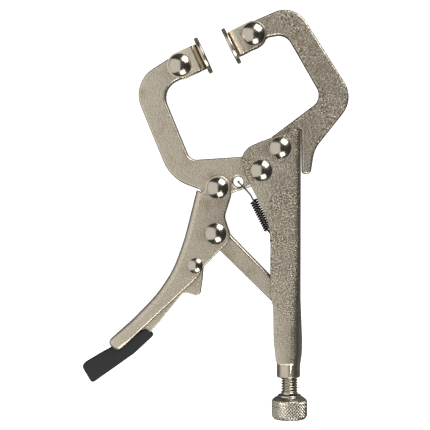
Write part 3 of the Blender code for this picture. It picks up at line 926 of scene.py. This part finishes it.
class PLIERS_OT_pads(bpy.types.Operator):
    """Build the two swivel pads: a round plate on a folded bracket each"""

    bl_idname = "pliers.pads"
    bl_label = "Swivel pads"

    def execute(self, context):
        sizes = context.scene.pliers_pads
        self.pad("fixed_pad", FIXED_PAD_PIVOT, sizes.fixed_faces)
        self.pad("moving_pad", MOVING_PAD_PIVOT, sizes.moving_faces)
        return {"FINISHED"}

    def pad(self, name, pivot, faces):
        """Builds one pad whose plate faces along the angle given."""
        sizes = bpy.context.scene.pliers_pads
        half = half_height(f"{name}_bracket")
        sheet, ear, thick = sizes.ear_sheet / MM, sizes.ear / MM, sizes.thickness / MM
        back = (sizes.reach - sizes.thickness / 2) / MM
        web = back - 0.12

        def turn(corners):
            flat = np.array([c[:2] for c in corners], float)
            spun = turn_by((1, 0), faces) * flat[:, :1] + turn_by((0, 1), faces) * flat[:, 1:] + pivot
            return rounded([(*p, c[2]) for p, c in zip(spun, corners)], 1.5)

        fold = turn([(web, -9, 0), (web, 9, 0), (-12, 9, 0), (-12, -9, 0)])
        end = ear * NEARLY_ROUND
        blank = turn([(web + 5, -ear, 0), (web + 5, ear, 0), (-ear, ear, end), (-ear, -ear, end)])
        inner = web - sheet
        space = turn([(inner, -12, 0), (inner, 12, 0), (-15, 12, 0), (-15, -12, 0)])
        holes = holes_for([pivot], shank_radii()[1])
        # The press leaves a shallow crease across each ear, beside the fold
        near, far = web - 3.2, web - 3.5
        crease = turn([(near, -7, 0), (near, 7, 0), (far, 7, 0), (far, -7, 0)])
        bracket = carved(
            f"{name}_folded_bracket",
            plate(fold, half, sizes.fold / MM, rounds=8),
            [
                ("INTERSECT", plate(blank, half + PROUD, 0.2, holes)),
                ("DIFFERENCE", plate(space, half - sheet, 0.9, rounds=6)),
                ("DIFFERENCE", plate(crease, 0.15, 0.02, base=half)),
                ("DIFFERENCE", plate(crease, 0.15, 0.02, base=-half)),
            ],
        )
        give(bracket, finish(pad_nickel), f"{name}_bracket")
        rim, radius = sizes.rim / MM, half_height(f"{name}_disc")
        front, dimple = back + thick, back + thick - 0.2
        profile = rounded(
            [
                (0, back, 0), (radius, back, rim), (radius, front, rim), (radius - 1.2, front, 0),
                (2.6, front, 0), (2.3, dimple, 0), (0, dimple, 0),
            ],
            step=1.5, closed=False,
        )[1:-1]
        disc = lathed(profile, (*pivot, MID_Z), (math.cos(faces), math.sin(faces), 0), 96)
        give(place(f"{name}_round_plate", disc), finish(pad_nickel), f"{name}_disc")


def ridge(phase):
    """0 in a groove and 1 half way to the next, for a phase that grows by 1 from groove to groove."""
    return 1 - np.abs(2 * (phase % 1) - 1)


class PLIERS_OT_screw(bpy.types.Operator):
    """Build the adjusting screw's thread and its knurled knob"""

    bl_idname = "pliers.screw"
    bl_label = "Adjusting screw"

    def execute(self, context):
        sizes = context.scene.pliers_screw
        self.thread(sizes.pitch / MM, sizes.depth / MM)
        self.knob(sizes.knob_corner / MM, sizes.knurl / MM, sizes.knurl_depth / MM)
        return {"FINISHED"}

    def thread(self, pitch, depth):
        """Radius = crest - depth (1 - profile), where the profile rises and falls once for each pitch
        of y - pitch a / 2 pi: a right-hand helix. The thread fades out at the tip and the knob."""
        low, high = span("adjusting_screw")
        crest = (high[0] - low[0]) / 2
        start, end = low[1], high[1]
        rows_per_mm, sides = 12, 72
        y = np.linspace(start, end, rows_per_mm * round(end - start) + 1)[:, None]
        a = np.linspace(0, 1, sides, endpoint=False)[None, :]
        # The thread's root and crest are flat: the ridge's lowest 0.14 and highest 0.2 are cut off
        profile = np.clip((ridge(y / pitch - a) - 0.14) / 0.66, 0, 1)
        fade = np.clip((y - start - 0.5) / 0.6, 0, 1)
        tip = np.clip(end - y, 0, 1)
        radii = crest - 0.01 - depth * (1 - profile * tip) * fade - 0.9 * (1 - tip)
        shape = turned(radii, y[:, 0], (SCREW_X, 0, MID_Z), (0, 1, 0))
        give(place("screw_thread", shape), finish(screw_nickel), "adjusting_screw", 70)

    def knob(self, corner, spacing, depth):
        """Radius = profile - depth (1 - min(u, v)) over the grip: u and v are ridges of the two phases
        a N / 2 pi + y / spacing and a N / 2 pi - y / spacing, so the grooves cross in diamonds."""
        low, high = span("screw_knob")
        radius = (high[0] - low[0]) / 2
        start, end = low[1], high[1]
        shoulder = end - 0.9
        profile = rounded(
            [
                (0, start, 0), (radius - 0.9, start, 0.3), (radius, start + 1.0, corner),
                (radius, shoulder - 1.2, corner), (radius - 1.5, shoulder, 0.6),
                (4.5, shoulder + 0.15, 0.3), (4.2, end, 0.3), (0, end, 0),
            ],
            step=0.14, closed=False,
        )
        r, y = profile[1:-1, :1], profile[1:-1, 1:]
        grooves = round(2 * math.pi * radius / spacing)
        columns_per_groove = 8
        a = np.linspace(0, grooves, grooves * columns_per_groove, endpoint=False)[None, :]
        cut = 1 - np.minimum(ridge(a + y / spacing), ridge(a - y / spacing))
        gripped = np.clip((y - start - 0.5) / 0.3, 0, 1) * np.clip((shoulder - 0.9 - y) / 0.3, 0, 1)
        radii = r - depth * cut * gripped
        shape = turned(radii, y[:, 0], (SCREW_X, 0, MID_Z), (0, 1, 0))
        give(place("knurled_knob", shape), finish(screw_nickel), "screw_knob", 60)


class PLIERS_OT_spring(bpy.types.Operator):
    """Build the tension spring with its two hooks"""

    bl_idname = "pliers.spring"
    bl_label = "Spring"

    def execute(self, context):
        sizes = context.scene.pliers_spring
        wire, coil = sizes.wire / MM, sizes.coil / MM
        above = half_height("moving_jaw") + HOOK_GAP + wire
        along = unit(COIL_END - COIL_START)
        across = np.array((-along[1], along[0]))
        share = np.linspace(0, 1, sizes.turns * 20 + 1)[:, None]
        turn = 2 * math.pi * sizes.turns * share
        flat = COIL_START + (COIL_END - COIL_START) * share + across * coil * np.sin(turn)
        helix = np.concatenate([flat, coil * np.cos(turn)], axis=1)
        # The upper hook comes up through the jaw's hole and over its face
        upper = np.array([
            (*SPRING_HOLE, -above - 0.8), (*SPRING_HOLE, 0.0), (*SPRING_HOLE, above - 1.0),
            (8.8, 11.9, above), (9.9, 10.8, above + 0.1), (11.2, 9.5, above),
            (12.3, 8.2, above - 0.8), (13.2, 7.0, 2.0),
        ])
        # The lower hook is three quarters of a ring round the post
        hook = np.linspace(math.radians(170), math.radians(-100), 14)[:, None] - math.pi / 2
        reach = SPRING_POST_RADIUS + HOOK_GAP + wire
        ring = SPRING_POST - along * reach * np.cos(hook) + across * reach * np.sin(hook)
        lower = np.concatenate([ring, np.zeros((len(ring), 1))], axis=1)
        knee = np.array([(*(COIL_END + along * 0.9), 0.6)])
        path = eased(np.concatenate([upper, helix[:1]]))[:-1]
        tail = eased(np.concatenate([helix[-1:], knee, lower]))[1:]
        route = np.concatenate([path, helix, tail]) + (0, 0, MID_Z)
        piece = place("coil_spring", swept(route, wire))
        give(piece, finish(black_wire), "tension_spring")
        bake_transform(piece)
        return {"FINISHED"}


def eased(points, parts=6):
    """A smooth curve through the points: between two of them the cubic whose slope at each point is
    half of the step between its two neighbours."""
    before, after = 2 * points[:1] - points[1:2], 2 * points[-1:] - points[-2:-1]
    padded = np.concatenate([before, points, after])
    a, b, c, d = (padded[i : len(padded) - 3 + i][:, None] for i in range(4))
    t = np.linspace(0, 1, parts, endpoint=False)[None, :, None]
    square, cube = a - 2.5 * b + 2 * c - d / 2, 1.5 * (b - c) + (d - a) / 2
    curve = b + t * (c - a) / 2 + t**2 * square + t**3 * cube
    return np.concatenate([curve.reshape(-1, points.shape[1]), points[-1:]])


# The stage


class PLIERS_OT_stage(bpy.types.Operator):
    """Build the pale floor, the soft lights and the camera"""

    bl_idname = "pliers.stage"
    bl_label = "Stage"

    def execute(self, context):
        sizes = context.scene.pliers_stage
        self.floor(sizes)
        self.lights(context.scene)
        self.camera(sizes)
        context.scene.view_settings.view_transform = "Standard"
        # A denoiser would wipe out the blasted grain and the knurl
        context.scene.cycles.use_denoising = False
        return {"FINISHED"}

    def floor(self, sizes):
        """A matt pale floor that glows for the camera only: the metal reflects a dim table."""
        half, drop = 3000.0, -0.3
        corners = [(-half, -half, drop), (half, -half, drop), (half, half, drop), (-half, half, drop)]
        floor = place("floor", (corners, [(0, 1, 2, 3)]))
        material, tree, shader = fresh("matt_white_table")
        seen = add(tree, "LightPath", "Is Camera Ray")
        tint = {0: seen, MIX_A: linear("#6C6C6C"), MIX_B: linear(sizes.floor)}
        connect(shader, {
            "Base Color": add(tree, "Mix", MIX_OUT, tint, data_type="RGBA"),
            "Roughness": 0.9,
            "Emission Color": linear("#FFFFFF"),
            "Emission Strength": add(tree, "Math", 0, {0: seen, 1: 0.85}, operation="MULTIPLY"),
        })
        floor.data.materials.append(material)

    def lights(self, scene):
        """A broad panel on the left and two small boxes on the right, in a dim room."""
        distance = 0.6
        # Each has its azimuth and height in degrees, its width in metres and its radiance
        for name, azimuth, height, width, radiance in (
            ("left_panel", 180.0, 46.0, 1.16, 0.95),
            ("right_back_box", 57.0, 28.0, 0.39, 6.0),
            ("right_front_box", -69.0, 39.0, 0.32, 6.0),
        ):
            data = bpy.data.lights.new(name, "AREA")
            data.size = width
            data.energy = radiance * math.pi * width**2
            lamp = bpy.data.objects.new(name, data)
            turn, up = math.radians(azimuth), math.radians(height)
            away = Vector((math.cos(turn) * math.cos(up), math.sin(turn) * math.cos(up), math.sin(up)))
            lamp.location = away * distance
            lamp.rotation_euler = away.to_track_quat("Z", "Y").to_euler()
            lamp.visible_camera = False
            scene.collection.objects.link(lamp)
        world = bpy.data.worlds.new("room")
        world.use_nodes = True
        tree = world.node_tree
        seen = add(tree, "LightPath", "Is Camera Ray")
        tint = {0: seen, MIX_A: linear("#3F3F3F"), MIX_B: linear("#F9F9F9")}
        connect(tree.nodes["Background"], {
            "Color": add(tree, "Mix", MIX_OUT, tint, data_type="RGBA"),
        })
        scene.world = world

    def camera(self, sizes):
        """A camera above the tool, square to it but for a few degrees of tilt."""
        data = bpy.data.cameras.new("camera")
        eye, aim = Vector(sizes.eye), Vector(sizes.aim)
        aim.z += (MID_Z + CHANNEL_HALF / 2) * MM
        data.sensor_width = 36.0
        data.lens = data.sensor_width * (eye - aim).length / sizes.across
        # The frame is moved so that its middle shows the origin
        data.shift_x, data.shift_y = -aim.x / sizes.across, -aim.y / sizes.across
        camera = bpy.data.objects.new("camera", data)
        camera.location = eye
        back = (eye - aim).normalized()
        right = Vector((0, 1, 0)).cross(back).normalized()
        camera.rotation_euler = Matrix((right, back.cross(right), back)).transposed().to_euler()
        bpy.context.scene.collection.objects.link(camera)
        bpy.context.scene.camera = camera


# The add-on

OPERATORS = (
    PLIERS_OT_jaws, PLIERS_OT_handle, PLIERS_OT_lever, PLIERS_OT_links, PLIERS_OT_grip,
    PLIERS_OT_rivets, PLIERS_OT_pads, PLIERS_OT_screw, PLIERS_OT_spring, PLIERS_OT_stage,
)
GROUPS = {
    "pliers_sheets": SheetSizes, "pliers_pads": PadSizes, "pliers_rivets": RivetSizes,
    "pliers_screw": ScrewSizes, "pliers_spring": SpringSizes, "pliers_finishes": Finishes,
    "pliers_stage": Stage,
}


class PLIERS_PT_panel(bpy.types.Panel):
    """The pliers' settings and the buttons that build them"""

    bl_idname = "PLIERS_PT_panel"
    bl_label = "Locking Pliers"
    bl_space_type = "VIEW_3D"
    bl_region_type = "UI"
    bl_category = "Pliers"

    def draw(self, context):
        for name, group in GROUPS.items():
            box = self.layout.box()
            for setting in group.__annotations__:
                box.prop(getattr(context.scene, name), setting)
        for operator in OPERATORS:
            self.layout.operator(operator.bl_idname)


def register():
    for kind in (*GROUPS.values(), *OPERATORS, PLIERS_PT_panel):
        bpy.utils.register_class(kind)
    for name, group in GROUPS.items():
        setattr(bpy.types.Scene, name, PointerProperty(type=group))


def unregister():
    for name in GROUPS:
        delattr(bpy.types.Scene, name)
    for kind in reversed((*GROUPS.values(), *OPERATORS, PLIERS_PT_panel)):
        bpy.utils.unregister_class(kind)


def main():
    register()
    for operator in OPERATORS:
        getattr(bpy.ops.pliers, operator.bl_idname.split(".")[1])()
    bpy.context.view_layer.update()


if __name__ == "__main__":
    main()
